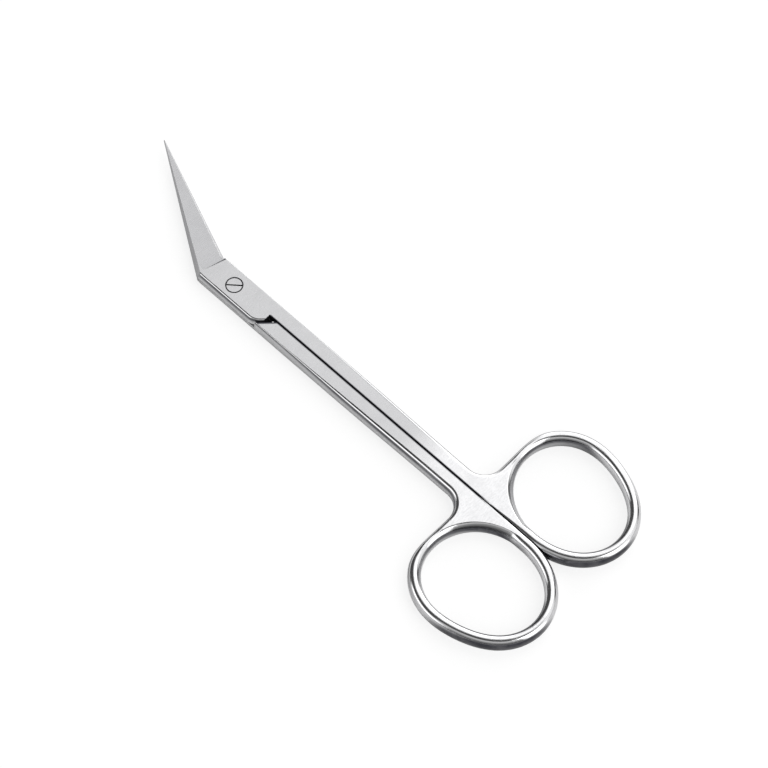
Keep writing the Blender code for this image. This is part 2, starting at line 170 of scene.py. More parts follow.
# Places that follow from the sizes
mid_z = thickness / 2
lap_z = mid_z + lap_gap / 2
shank_end_y = -shank_length
bow_centre_x = bow_radius - bow_lean_in
bow_centre_y = shank_end_y - bow_drop
arm_edge_y = shank_end_y - arm_drop
arm_edge_end_x = bow_centre_x - arm_short
inner_straight_y = shank_end_y - inner_run
heel_depth = (shoulder_reach - shoulder_gap) * math.sqrt(2)
shoulder_depth = shoulder_reach * math.sqrt(2)
relief_y = relief_rise - shoulder_depth
blade_root_y = (bend_outer_y + bend_inner_y) / 2
tip_x = blade_length * math.sin(blade_turn)
tip_y = blade_root_y + blade_length * math.cos(blade_turn)
neck_radius = thread_radius + neck_step
core_radius = thread_radius - thread_depth
head_top_z = thickness - head_recess
seat_z = head_top_z - head_height
beyond = 2 * (tip_y - bow_centre_y)

# Finishes and painted shade: how much light the steel gives back, and how rough it is
flat_level = 0.61
flat_roughness = 0.3
flat_rough_swing = 0.04
grain = 0.04
smudge_part = 0.2
smudge_drop = 0.1
web_level = 0.8
web_roughness = 0.26
web_band = (-0.044, -0.056)
# Painted shade on the flats beside the split, along the heel's gap and on the notch's floor, and the widths
# it reaches
gap_shade_level = 0.05
split_shade = 0.0004
heel_shade = 0.0006
blade_level = 0.47
blade_grain = 0.02
blade_roughness = 0.28
blade_rough_swing = 0.03
blade_wear_part = 0.7
blade_wear_reach = 0.00007
# Painted shade: near-black colour of the faces in gaps, bores, notches and steps
inner_shade_level = 0.08
inner_grain = 0.03
inner_roughness = 0.5
inner_rough_swing = 0.08
screw_level = 0.56
screw_roughness = 0.26
ring_swing = 0.06
head_smudge_part = 0.3
head_smudge_scale = 700.0
head_wear_part = 0.6
head_wear_reach = 0.00006

# Polished sides, whose walls carry painted shade by place and facing, with a painted highlight at the shank
# walls' mid height. A band gives where a change starts and ends
polish_level = 0.82
polish_roughness = 0.14
side_smudge_part = 0.15
clean_drop = 0.02
smudge_rise = 0.05
hairline_rise = 0.12
hairline_depth = 0.15
wall_band = (0.45, 0.8)
# Painted shade: the wall, front, far and crest levels darken the walls; the rim level is a painted highlight
shank_wall_shade_level = 0.1
shank_rim_highlight_level = 0.8
rim_band = (0.4, 0.05)
# Painted shade: blade walls are darker facing -X and lighter facing +X
blade_wall_shade_level = 0.4
edge_wall_level = 0.85
edge_facing = 0.496
# Painted shade: bow walls are a little darker, and near black where they face front_way
bow_band = (-0.06, -0.076)
bow_wall_shade_level = 0.75
bow_front_shade_level = 0.05
front_way = (-0.62, -0.79, 0.0)
front_band = (0.45, 0.8)
# Painted shade: a dark line on the bow walls facing far_way, at the bar's far edge
far_edge_shade_level = 0.12
far_way = (0.5, 0.87, 0.0)
far_band = (0.3, 0.58)
# Painted shade: a darker band on the crest next to the shank flats
crest_shade_level = 0.42
crest_band = (0.8, 0.97)

# Marks in the steel: their noise, the band of it that counts, and how deep they are felt
flat_marks = {"Lines": 7000.0, "Drawn out": 2.5}
blade_marks = {"Lines": 9000.0, "Drawn out": 12.0}
inner_marks = {"Lines": 2600.0, "Drawn out": 3.0}
head_rings = {"Lines": 9000.0}
hand_marks = {"Smudges": 260.0, "Hairlines": 2600.0}
fine_noise = {"Scale": 1.0, "Detail": 3.0, "Roughness": 0.65}
broad_noise = {"Scale": 0.45, "Detail": 3.0, "Roughness": 0.6}
ring_noise = {"Scale": 1.0, "Detail": 2.0}
cloud_noise = {"Detail": 4.0, "Roughness": 0.55}
hair_noise = {"Detail": 1.0}
wave_noise = {"Scale": 420.0, "Detail": 1.0}
hairline_way = {"Rotation": (0.3, 0.2, 0.9), "Scale": (1.0, 0.04, 1.0)}
streak_band = (0.3, 0.7)
smudge_band = (0.35, 0.7)
hairline_band = (0.66, 0.72)
worn_band = (0.998, 0.94)
worn_samples = 4
flat_relief = {"Strength": 0.5, "Distance": 0.000006}
blade_relief = {"Strength": 0.25, "Distance": 0.000005}
side_relief = {"Strength": 0.35, "Distance": 0.00006}
inner_relief = {"Strength": 0.4, "Distance": 0.00001}
head_relief = {"Strength": 0.4, "Distance": 0.000006}

# Limits that sort the faces into finishes, and how the shading follows the faces
sharp_angle = math.radians(26)
face_weight = 100
flat_limit = 0.99999
lean_limit = 0.9925
side_limit = 0.45
heel_limit = 0.6
heel_band = 0.0022
heel_width = 0.0026
grind_finish_y = bend_inner_y / 2

# Floor and light. A panel's numbers are the azimuth of its middle and its half width, the angles from
# straight up at which it starts and ends, all in degrees, and its level
floor_reach = 6.0
glow_to_camera = 0.8
glow_to_steel = 0.05
paper_to_camera = 0.3
floor_level = 0.97
room_level = 0.07
panel_edge = 8
soft_panels = (
    (26, 36, 14, 92, 0.95),
    (34, 30, 14, 40, 0.4),
    (26, 26, 60, 92, 1.4),
    (-28, 34, 22, 56, 1.0),
    (-80, 16, 20, 92, 1.9),
    (148, 26, 54, 84, 1.6),
    (-136, 60, 26, 52, 0.5),
    (-136, 50, 52, 80, 0.2),
    (-48, 16, 58, 84, 0.9),
)

# Camera, where the photograph was taken from
view_azimuth = math.radians(-46.063)
view_elevation = math.radians(62.621)
view_distance = 0.55708
view_target = (0.00584, -0.034, 0.0)
view_lens = 138.4


def grid_faces(rows, columns, closed):
    """Quads of a grid of points in reading order. A closed grid also joins its last column to its first."""
    index = np.arange(rows * columns).reshape(rows, columns)
    if closed:
        index = np.concatenate([index, index[:, :1]], axis=1)
    return np.stack([index[:-1, :-1], index[:-1, 1:], index[1:, 1:], index[1:, :-1]], axis=-1).reshape(-1, 4)


def link_object(name, data):
    """An object in the scene for a mesh or a camera."""
    made = bpy.data.objects.new(name, data)
    bpy.context.scene.collection.objects.link(made)
    return made


def mesh_object(name, grids, caps=()):
    """One closed mesh from grids of points, each with a closed flag, and caps as loops of points."""
    points, faces, start = [], [], 0
    for grid, closed in grids:
        rows, columns = grid.shape[:2]
        points.append(grid.reshape(-1, 3))
        faces.extend((grid_faces(rows, columns, closed) + start).tolist())
        start += rows * columns
    for loop in caps:
        points.append(np.asarray(loop))
        faces.append(list(range(start, start + len(loop))))
        start += len(loop)
    mesh = bpy.data.meshes.new(name)
    mesh.from_pydata(np.concatenate(points), [], faces)
    close_mesh(mesh)
    return link_object(name, mesh)


def close_mesh(mesh):
    """Merge the points that patches share, and turn every face outward."""
    bm = bmesh.new()
    bm.from_mesh(mesh)
    bmesh.ops.remove_doubles(bm, verts=bm.verts, dist=sliver / 4)
    bmesh.ops.recalc_face_normals(bm, faces=bm.faces)
    bm.to_mesh(mesh)
    bm.free()


def unit(run):
    """Vectors divided by their own lengths."""
    return run / np.linalg.norm(run, axis=-1, keepdims=True)


def path_with_fillets(corners, radii):
    """Points of an open polyline whose inner corners are arcs of the given radii.

    An arc starts radius times tan(turn / 2) before its corner, and turns about the point one radius
    to the side that the path turns to.
    """
    corners = [np.array(corner, float) for corner in corners]
    points = [corners[:1]]
    for before, corner, after, radius in zip(corners, corners[1:], corners[2:], radii):
        come = unit(corner - before)
        leave = unit(after - corner)
        turn = math.atan2(come[0] * leave[1] - come[1] * leave[0], come @ leave)
        side = math.copysign(1.0, turn)
        start = corner - come * radius * math.tan(abs(turn) / 2)
        centre = start + side * radius * np.array([-come[1], come[0]])
        first = math.atan2(*(start - centre)[::-1])
        angles = first + np.linspace(0.0, turn, fillet_steps + 1)
        points.append(centre + radius * np.stack([np.cos(angles), np.sin(angles)], axis=1))
    points.append(corners[-1:])
    return np.concatenate(points)


def path_lengths(path):
    """Distance from the start to each point of a polyline."""
    return np.concatenate([[0.0], np.cumsum(np.linalg.norm(np.diff(path, axis=0), axis=1))])


def length_at(path, point):
    """Distance along a polyline to its place nearest a point."""
    start = path[:-1]
    run = path[1:] - start
    share = np.einsum("ij,ij->i", np.array(point) - start, run) / np.einsum("ij,ij->i", run, run)
    share = np.clip(share, 0.0, 1.0)
    nearest = start + run * share[:, None]
    best = int(np.argmin(np.linalg.norm(nearest - np.array(point), axis=1)))
    return path_lengths(path)[best] + share[best] * np.linalg.norm(run[best])


def walk(path, distances):
    """Points at distances along a polyline, and unit normals to the right of the way it runs."""
    lengths = path_lengths(path)
    distances = np.asarray(distances, float)

    def at(where):
        return np.stack([np.interp(where, lengths, path[:, axis]) for axis in (0, 1)], axis=1)

    ahead = at(np.minimum(distances + walk_reach, lengths[-1]))
    behind = at(np.maximum(distances - walk_reach, 0.0))
    tangent = unit(ahead - behind)
    return at(distances), np.stack([tangent[:, 1], -tangent[:, 0]], axis=1)


def spread(marks, counts):
    """Stations that divide the way between successive marks into the given counts."""
    runs = [np.linspace(a, b, n, endpoint=False) for a, b, n in zip(marks, marks[1:], counts)]
    return np.concatenate(runs + [[marks[-1]]])


def side_points(edge, inward, roundness, power=side_power):
    """Grid down a rounded side: superellipse |inset|^p + |rise|^p = 1 between the bottom and top flats.

    At each station the point is the outline's edge plus roundness times the inset along the inward
    normal, at mid height plus half the thickness times the rise. The power p may change by station.
    """
    angle = np.linspace(-math.pi / 2, math.pi / 2, side_steps + 1)
    power = np.broadcast_to(power, len(edge))[:, None]
    inset = 1.0 - np.abs(np.cos(angle)) ** (2 / power)
    inset[:, [0, -1]] = 1.0
    rise = np.sign(angle) * np.abs(np.sin(angle)) ** (2 / power)
    plan = edge[:, None, :] + inward[:, None, :] * (roundness[:, None] * inset)[:, :, None]
    return np.concatenate([plan, (mid_z + mid_z * rise)[:, :, None]], axis=2)


def between(first, last, spans):
    """Inner points that divide the way from first to last into equal spans at each station."""
    share = np.arange(1, spans) / spans
    return first[:, None, :] + (last - first)[:, None, :] * share[None, :, None]


def sections(left, right, spans):
    """Closed section loops: up the left side, over the top flat, down the right side and back."""
    left_side = side_points(*left)
    right_side = side_points(*right)[:, ::-1, :]
    top = between(left_side[:, -1], right_side[:, 0], spans)
    bottom = between(right_side[:, -1], left_side[:, 0], spans)
    return np.concatenate([left_side, top, right_side, bottom], axis=1)


def bow_centreline(angle):
    """Middle of the bow's bar: radius plus stretch times cos 2a plus egg times cos 3a, by angle a."""
    radius = (
        bow_radius
        + bow_stretch * np.cos(2 * (angle - bow_stretch_angle))
        + bow_egg * np.cos(3 * (angle - bow_egg_angle))
    )
    return np.stack([bow_centre_x + radius * np.cos(angle), bow_centre_y + radius * np.sin(angle)], axis=-1)


def bow_edges(angle):
    """Outer and inner edge of the bar and the outward normal: the centreline shifted half a bar each way.

    The outer edge keeps a hair inside, so that the fine curve stays within the CAD's straight facets.
    """
    tangent = unit(bow_centreline(angle + angle_reach) - bow_centreline(angle - angle_reach))
    outward = np.stack([tangent[..., 1], -tangent[..., 0]], axis=-1)
    middle = bow_centreline(angle)
    outer = middle + outward * (bar_width / 2 - outline_trim)
    return outer, middle - outward * bar_width / 2, outward


def tip_corners(bend):
    """Tip corners on the spine side and on the edge side."""
    tip = np.array([bend * tip_x, tip_y])
    way = np.array([bend * math.sin(blade_turn), math.cos(blade_turn)])
    across = np.array([way[1], -way[0]]) * tip_width / 2
    return tip - across, tip + across


def bend_ys(bend):
    """Where the spine side and the edge side turn from the joint into the blade."""
    return (bend_outer_y, bend_inner_y) if bend > 0 else (bend_inner_y, bend_outer_y)


def smooth(share):
    """A share held between 0 and 1 that starts and ends level: 3 s squared less 2 s cubed."""
    share = np.clip(share, 0.0, 1.0)
    return share**2 * (3 - 2 * share)


def shank_side():
    """Edge side of the shank: straight out of the web, then smooth steps to its widest and to the joint."""
    y = np.linspace(shank_end_y, -taper_start, shank_steps + 1)
    swell = smooth((y - shank_end_y - web_run) / (shank_length - web_run - taper_end))
    waist = smooth((y + taper_end) / (taper_end - taper_start))
    x = web_half_width + (shank_half_width - web_half_width) * swell
    return np.column_stack([x + (joint_half_width - shank_half_width) * waist, y])


def blank_paths(bend):
    """Plan outline of the forging from the shank's end to the tip, spine side and edge side."""
    spine_tip, edge_tip = tip_corners(bend)
    spine_bend_y, edge_bend_y = bend_ys(bend)
    inner_x = -joint_round
    spine = path_with_fillets(
        [
            (inner_x, shank_end_y),
            (inner_x, -heel_depth - inner_x),
            (-joint_half_width, joint_half_width - heel_depth),
            (-joint_half_width, spine_bend_y),
            spine_tip,
        ],
        [joint_round, heel_fillet, bend_fillet],
    )
    blade = path_with_fillets(
        [(joint_half_width, -taper_start), (joint_half_width, edge_bend_y), edge_tip], [bend_fillet]
    )
    return spine, np.concatenate([shank_side(), blade[1:]])


def head_sections(bend):
    """Loops from the shank's end through the joint to the tip, at stations matched on both outlines."""
    spine, edge = blank_paths(bend)
    spine_bend_y, edge_bend_y = bend_ys(bend)
    inner = -joint_round
    half = joint_half_width
    low = inner - station_step
    plate_y = half - heel_depth
    pairs = [
        ((inner, shank_end_y), (web_half_width, shank_end_y)),
        ((inner, -taper_end), (shank_half_width, -taper_end)),
        ((inner, -inner - heel_depth - station_step), (half, -heel_depth - 2 * station_step)),
        ((low, -low - heel_depth), (half, -heel_depth)),
        ((-half + joint_round * 2, plate_y - joint_round * 2), (half, plate_y - joint_round * 2)),
        ((-half, plate_y + heel_fillet / 2), (half, plate_y + heel_fillet / 2)),
        ((-half, spine_bend_y - bend_fillet), (half, edge_bend_y - bend_fillet)),
        ((-half, spine_bend_y), (half, edge_bend_y)),
    ]
    spine_marks = [length_at(spine, pair[0]) for pair in pairs]
    edge_marks = [length_at(edge, pair[1]) for pair in pairs]
    spine_marks.extend([spine_marks[-1] + turn_run, path_lengths(spine)[-1]])
    edge_marks.extend([edge_marks[-1] + turn_run, path_lengths(edge)[-1]])
    spine_at = spread(spine_marks, head_spans)
    left_edge, left_in = walk(spine, spine_at)
    right_edge, right_in = walk(edge, spread(edge_marks, head_spans))
    width = np.linalg.norm(right_edge - left_edge, axis=1)
    spine_round = np.interp(
        spine_at,
        [spine_marks[-4], spine_marks[-2], spine_marks[-1]],
        [joint_round, spine_round_root, spine_round_tip],
    )
    edge_round = np.interp(
        right_edge[:, 1],
        [shank_end_y, -round_end, -round_start],
        [web_round, shank_round, joint_edge_round],
    )
    spine_round = np.minimum(spine_round, side_share * width)
    edge_round = np.minimum(edge_round, side_share * width)
    return sections((left_edge, left_in, spine_round), (right_edge, -right_in, edge_round), shank_columns)


def arm_outline():
    """Outline from the shank's end round the crotch to the bow's crown: an arc, then a Hermite curve."""
    arm = path_with_fillets(
        [(web_half_width, shank_end_y), (web_half_width, arm_edge_y), (arm_edge_end_x, arm_edge_y)],
        [crotch_fillet],
    )
    crown_edge, _, crown_out = bow_edges(np.array([bow_crown_angle]))
    share = np.linspace(0.0, 1.0, arm_steps)[1:, None]
    start, end = arm[-1], crown_edge[0]
    pull = np.linalg.norm(end - start)
    start_way = np.array([1.0, 0.0]) * pull
    end_way = np.array([crown_out[0, 1], -crown_out[0, 0]]) * pull
    lead = (
        (2 * share**3 - 3 * share**2 + 1) * start
        + (share**3 - 2 * share**2 + share) * start_way
        + (3 * share**2 - 2 * share**3) * end
        + (share**3 - share**2) * end_way
    )
    return np.concatenate([arm, lead])


def bow_patches(shank_loop):
    """Loops round the bow, and the web's rows that join it to the shank's end loop."""
    arm = arm_outline()
    arm_at = np.linspace(0.0, path_lengths(arm)[-1], arm_steps + 1)[:-1]
    arm_edge, arm_right = walk(arm, arm_at)
    arm_share = arm_at / path_lengths(arm)[-1]
    arm_hole_angle = web_outer_angle + (bow_crown_angle - web_outer_angle) * arm_share

    round_angle = np.linspace(bow_crown_angle, -math.pi, bow_steps)
    round_edge, _, round_out = bow_edges(round_angle)

    inner_y = np.linspace(round_edge[-1, 1], shank_end_y, inner_steps + 1)[1:]
    inner_x = np.interp(inner_y, [round_edge[-1, 1], inner_straight_y], [round_edge[-1, 0], -joint_round])
    inner_edge = np.stack([inner_x, inner_y], axis=1)
    inner_share = np.linspace(0.0, 1.0, inner_steps + 1)[1:]
    inner_hole_angle = -math.pi - (math.pi - web_inner_angle) * inner_share

    edge = np.concatenate([arm_edge, round_edge, inner_edge])
    inward = np.concatenate([arm_right, -round_out, np.tile([1.0, 0.0], (len(inner_edge), 1))])
    _, hole, hole_out = bow_edges(np.concatenate([arm_hole_angle, round_angle, inner_hole_angle]))
    crown_round = (bar_width - bar_crown_flat) / 2

    def along_bow(first, middle, last):
        """A value that changes along the arm, stays round the bow, and changes along the inner run."""
        rise = first + (middle - first) * smooth(arm_share)
        fall = middle + (last - middle) * smooth(inner_share)
        return np.concatenate([rise, np.full(len(round_edge), middle), fall])

    outer_round = along_bow(web_round, crown_round, joint_round)
    hole_power = along_bow(web_side_power, side_power, web_side_power)
    hole_round = np.full(len(edge), crown_round)
    loops = sections((edge, inward, outer_round), (hole, hole_out, hole_round, hole_power), 1)

    top_row = shank_loop[side_steps: side_steps + shank_columns + 1]
    bottom_row = np.concatenate([shank_loop[:1], shank_loop[-shank_columns:][::-1]])
    web_angle = np.linspace(web_inner_angle, web_outer_angle, shank_columns + 1)
    _, web_hole, web_out = bow_edges(web_angle)
    web_crown = np.full(len(web_hole), crown_round)
    web_side = side_points(web_hole, web_out, web_crown, web_side_power)[:, ::-1, :]
    web = np.concatenate([top_row[:, None, :], web_side, bottom_row[:, None, :]], axis=1)
    return loops, web


def blank(name, bend):
    """Closed mesh of the forging before it is ground, in the half frame."""
    head = head_sections(bend)
    loops, web = bow_patches(head[0])
    return mesh_object(name, [(head, True), (loops, True), (web, False)], [head[-1]])


def hull(name, points):
    """Convex solid round a few points."""
    bm = bmesh.new()
    for point in points:
        bm.verts.new(point)
    bmesh.ops.convex_hull(bm, input=bm.verts)
    bmesh.ops.recalc_face_normals(bm, faces=bm.faces)
    mesh = bpy.data.meshes.new(name)
    bm.to_mesh(mesh)
    bm.free()
    return link_object(name, mesh)


def prism(name, outline, low, high):
    """Solid with a plan outline between two heights."""
    outline = np.array(outline, float)
    rings = np.stack([np.column_stack([outline, np.full(len(outline), z)]) for z in (low, high)])
    return mesh_object(name, [(rings, True)], [rings[0], rings[1]])


def rings_about_axis(radius, height, angle):
    """Rings about Z, one at each height: x and y are a point's radius times its angle's cosine and sine."""
    radius = np.broadcast_to(radius, (len(height), turn_steps))
    tall = np.broadcast_to(height[:, None], radius.shape)
    return np.stack([radius * np.cos(angle), radius * np.sin(angle), tall], axis=-1)


def turned(name, profile):
    """Solid of revolution about Z: each (radius, height) pair of the profile gives one ring."""
    radius, height = np.array(profile, float).T
    angle = np.linspace(0.0, 2 * math.pi, turn_steps, endpoint=False)
    rings = rings_about_axis(radius[:, None], height, angle)
    return mesh_object(name, [(rings, True)], [rings[0], rings[-1]])


def threaded(name, major, low, high, before, after):
    """Turned solid about Z with a V thread between two heights, and plain rings before and after it.

    The radius is the major one less the depth times 1 - |2 phase - 1|, where the phase is the height in
    pitches less the share of a turn, so the crest climbs one pitch in each turn.
    """
    share = np.arange(turn_steps) / turn_steps
    rows = math.ceil((high - low) / thread_pitch * thread_rows)
    height = np.linspace(low, high, rows + 1)
    phase = (height[:, None] / thread_pitch - share) % 1.0
    radius = major - thread_depth * (1.0 - np.abs(2.0 * phase - 1.0))
    ends = [np.array(ring) for ring in (before, after)]
    plain = [np.tile(ring[:, :1], turn_steps) for ring in ends]
    radius = np.concatenate([plain[0], radius, plain[1]])
    height = np.concatenate([ends[0][:, 1], height, ends[1][:, 1]])
    rings = rings_about_axis(radius, height, share * 2 * math.pi)
    return mesh_object(name, [(rings, True)], [rings[0], rings[-1]])


def grind_plane(bend):
    """Three points of the ground blade face: spine side of the step, edge side of the step, and tip."""
    outer_y = bend_outer_y - grind_outer_drop
    inner_y = bend_inner_y - grind_inner_drop
    spine_y, edge_y = (outer_y, inner_y) if bend > 0 else (inner_y, outer_y)
    spine_point = np.array([-grind_start_x, spine_y, thickness])
    edge_point = np.array([joint_half_width, edge_y, thickness - grind_root_depth])
    tip_point = np.array([bend * tip_x, tip_y, lap_z + tip_height])
    return spine_point, edge_point, tip_point


def grind_cutter(bend):
    """Solid over the ground blade face, with a slanting wall at the step."""
    spine_point, edge_point, tip_point = grind_plane(bend)
    across = edge_point - spine_point
    along = tip_point - (spine_point + edge_point) / 2
    base = [
        spine_point - across * 2,
        edge_point + across * 2,
        edge_point + across * 2 + along * 2,
        spine_point - across * 2 + along * 2,
    ]
    lift = 2 * thickness
    back = unit(along[:2]) * lift / math.tan(grind_step_slope)
    tops = [point + np.array([*(-back if k < 2 else back), lift]) for k, point in enumerate(base)]
    return hull("grind_cut", base + tops)


def side_bevel(root, tip, left, insets, lean, run_out):
    """Solid outside a leaning plane along one side of the blade, above and below the lap face.

    The plane stands off the outline by one inset at the root and one at the tip, measured on the lap
    face, and leans over the blade. left is 1 where the blade lies to the left of the way from root to
    tip, and -1 where it lies to the right.
    """
    root, tip = np.array(root), np.array(tip)
    way = unit(tip - root)
    inward = left * np.array([-way[1], way[0]])
    start = root + inward * insets[0]
    end = tip + inward * insets[1]
    run = end - start
    points = []
    for place in (start - way * run_out, end + run):
        for rise in (-thickness, thickness):
            points.append((*(place + inward * rise * math.tan(lean)), lap_z + rise))
            points.append((*(place - inward * 2 * thickness), lap_z + rise))
    return hull("bevel_cut", points)


def split_cutter():
    """Everything past the plane where the closed shanks and bows meet."""
    split_x = split_gap / 2
    outline = [(-beyond, -beyond), (split_x, -beyond), (split_x, relief_y), (-beyond, relief_y)]
    return prism("split_cut", outline, -thickness, 2 * thickness)


def lap_cutter():
    """Everything under the lap plane in front of the slanting shoulder."""
    outside = -split_gap
    edge = path_with_fillets(
        [(outside, -beyond), (outside, outside - shoulder_depth), (beyond, beyond - shoulder_depth)],
        [shoulder_corner],
    )
    outline = [(-beyond, -beyond), *edge, (beyond, beyond), (-beyond, beyond)]
    return prism("lap_cut", outline, -thickness, lap_z)


def half_cutters(bend):
    """Everything that is ground out of one forging, in the half frame."""
    spine_tip, edge_tip = tip_corners(bend)
    spine_bend_y, edge_bend_y = bend_ys(bend)
    edge_root = (joint_half_width, edge_bend_y)
    spine_root = (-joint_half_width, spine_bend_y)
    edge = side_bevel(edge_root, edge_tip, 1, (edge_inset_root, edge_inset_tip), edge_bevel, 0.0)
    spine = side_bevel(spine_root, spine_tip, -1, (spine_inset, spine_inset), spine_bevel, spine_run_out)
    return [grind_cutter(bend), edge, spine, split_cutter(), lap_cutter()]


def carve(target, cutters):
    """Take the cutters' solids out of the target, keep the result as its mesh and drop the cutters."""
    for cutter in cutters:
        step = target.modifiers.new(cutter.name, "BOOLEAN")
        step.operation = "DIFFERENCE"
        step.solver = "EXACT"
        step.object = cutter
    weld = target.modifiers.new("slivers", "WELD")
    weld.merge_threshold = sliver
    bpy.context.view_layer.update()
    evaluated = target.evaluated_get(bpy.context.evaluated_depsgraph_get())
    carved = bpy.data.meshes.new_from_object(evaluated)
    target.modifiers.clear()
    target.data = carved
    for cutter in cutters:
        bpy.data.objects.remove(cutter, do_unlink=True)


def turn_over(piece):
    """Turn a mesh 180 degrees about the line along Y at mid thickness."""
    shift = Matrix.Translation((0.0, 0.0, thickness))
    piece.data.transform(shift @ Matrix.Rotation(math.pi, 4, "Y"))


def upper_bore():
    """Counterbore with a broken rim, and the plain hole for the screw's neck."""
    floor_z = seat_z - head_clearance
    bore = neck_radius + neck_clearance
    wide = head_radius + head_clearance
    profile = [
        (bore, 0.0),
        (bore, floor_z),
        (wide, floor_z),
        (wide, thickness - rim_chamfer),
        (wide + rim_chamfer, thickness),
        (wide + rim_chamfer + thickness, 2 * thickness),
    ]
    return turned("upper_bore_cut", profile)


def lower_bore():
    """Tapped hole: the thread's form with a clearance all round."""
    low, high = -2 * thread_pitch, mid_z + thread_pitch
    bottom = [(core_radius, low - thread_pitch)]
    top = [(core_radius, high + thread_pitch)]
    return threaded("lower_bore_cut", thread_radius + thread_clearance, low, high, bottom, top)


def make_screw():
    """Slotted pivot screw: thread in the lower half, plain neck in the upper half, flush head."""
    profile = [
        (neck_radius, mid_z),
        (neck_radius, seat_z),
        (head_radius, seat_z),
        (head_radius, head_top_z - head_chamfer),
        (head_radius - head_chamfer / 3, head_top_z - head_chamfer / 3),
        (head_radius - head_chamfer, head_top_z),
    ]
    end_ring = [(core_radius - point_chamfer, 0.0)]
    screw = threaded("screw", thread_radius, point_chamfer, mid_z - lap_gap, end_ring, profile)
    way = np.array([math.cos(slot_angle), math.sin(slot_angle)])
    side = np.array([-way[1], way[0]]) * slot_width / 2
    reach = way * 2 * head_radius
    corners = [reach + side, reach - side, -reach - side, side - reach]
    carve(screw, [prism("slot_cut", corners, head_top_z - slot_depth, head_top_z + thickness)])
    return screw


def add_node(tree, kind, settings=None, inputs=None):
    """A shader node of a kind, with its settings, and a value or a link for each input given."""
    made = tree.nodes.new("ShaderNode" + kind)
    for title, value in (settings or {}).items():
        setattr(made, title, value)
    for title, value in (inputs or {}).items():
        if isinstance(value, bpy.types.NodeSocket):
            tree.links.new(value, made.inputs[title])
        else:
            made.inputs[title].default_value = value
    return made


def calculate(tree, operation, first, second=0.0, third=0.0):
    """One math step on numbers."""
    inputs = {0: first, 1: second, 2: third}
    return add_node(tree, "Math", {"operation": operation}, inputs).outputs[0]


def times(tree, first, second):
    """The product of two numbers."""
    return calculate(tree, "MULTIPLY", first, second)


def size_of(tree, number):
    """A number without its sign."""
    return calculate(tree, "ABSOLUTE", number)


def vector_step(tree, operation, first, second=(0.0, 0.0, 0.0)):
    """One math step on vectors, with its Vector and Value outputs."""
    return add_node(tree, "VectorMath", {"operation": operation}, {0: first, 1: second}).outputs


def parts_of(tree, vector):
    """X, Y and Z of a vector."""
    return add_node(tree, "SeparateXYZ", None, {"Vector": vector}).outputs


def noise(tree, inputs, settings=None):
    """Noise about one half."""
    return add_node(tree, "TexNoise", settings, inputs).outputs["Fac"]


def fade(tree, factor, low, high):
    """A number that goes from low to high with the factor."""
    return add_node(tree, "Mix", {"data_type": "FLOAT"}, {0: factor, 2: low, 3: high}).outputs[0]


def tint(tree, factor, low, high):
    """A colour that goes from low to high with the factor, where a plain number stands for its grey."""
    low, high = [grey(end) if isinstance(end, float) else end for end in (low, high)]
    return add_node(tree, "Mix", {"data_type": "RGBA"}, {0: factor, 6: low, 7: high}).outputs[2]


def tint_by_part(tree, factor, part, low, high):
    """A colour that goes a given part of the way from low to high with the factor."""
    return tint(tree, times(tree, factor, part), low, high)


def step_between(tree, value, start, end):
    """0 up to start and 1 from end, with a smooth step between."""
    ends = {"Value": value, "From Min": start, "From Max": end}
    return add_node(tree, "MapRange", {"interpolation_type": "SMOOTHSTEP"}, ends).outputs["Result"]


def grey(level, blue=0.01):
    """Neutral steel colour with a trace of blue."""
    return (level, level, level + blue, 1.0)


def swing_by(tree, blend, factor, middle, swing):
    """A number or colour, by fade or tint, that swings about its middle with the factor."""
    return blend(tree, factor, middle - swing, middle + swing)


def make_group(recipe, inputs):
    """A node group from a recipe, with a number for each input, or None where it is a vector."""
    tree = bpy.data.node_groups.new(recipe.__name__, "ShaderNodeTree")
    for title, value in inputs.items():
        kind = "NodeSocketVector" if value is None else "NodeSocketFloat"
        socket = tree.interface.new_socket(name=title, in_out="INPUT", socket_type=kind)
        if value is not None:
            socket.default_value = value
    results = recipe(tree, tree.nodes.new("NodeGroupInput").outputs)
    for title in results:
        tree.interface.new_socket(name=title, in_out="OUTPUT", socket_type="NodeSocketFloat")
    end = tree.nodes.new("NodeGroupOutput").inputs
    for title, result in results.items():
        tree.links.new(result, end[title])
    return tree


def brush_marks(tree, given):
    """Belt marks along X: noise squeezed across the marks and drawn out along them, fine and broad."""
    along = calculate(tree, "DIVIDE", given["Lines"], given["Drawn out"])
    pull = add_node(tree, "CombineXYZ", None, {"X": along, "Y": given["Lines"], "Z": given["Lines"]})
    drawn = vector_step(tree, "MULTIPLY", given["Position"], pull.outputs[0])["Vector"]
    fine = noise(tree, {"Vector": drawn, **fine_noise})
    broad = noise(tree, {"Vector": drawn, **broad_noise})
    return {"Height": fine, "Streaks": step_between(tree, broad, *streak_band)}


def turning_marks(tree, given):
    """Rings round Z: noise of the distance from the axis, which changes little round the ring."""
    flat = vector_step(tree, "MULTIPLY", given["Position"], (1.0, 1.0, 0.0))["Vector"]
    rings = times(tree, vector_step(tree, "LENGTH", flat)["Value"], given["Lines"])
    return {"Height": noise(tree, {"W": rings, **ring_noise}, {"noise_dimensions": "1D"})}


def handling_marks(tree, given):
    """Smudges as soft noise, and hairlines as the thin high part of a long stretched noise."""
    cloud = noise(tree, {"Vector": given["Position"], "Scale": given["Smudges"], **cloud_noise})
    drawn = add_node(tree, "Mapping", None, {"Vector": given["Position"], **hairline_way}).outputs[0]
    hair = noise(tree, {"Vector": drawn, "Scale": given["Hairlines"], **hair_noise})
    smudge = step_between(tree, cloud, *smudge_band)
    return {"Smudge": smudge, "Hairline": step_between(tree, hair, *hairline_band)}


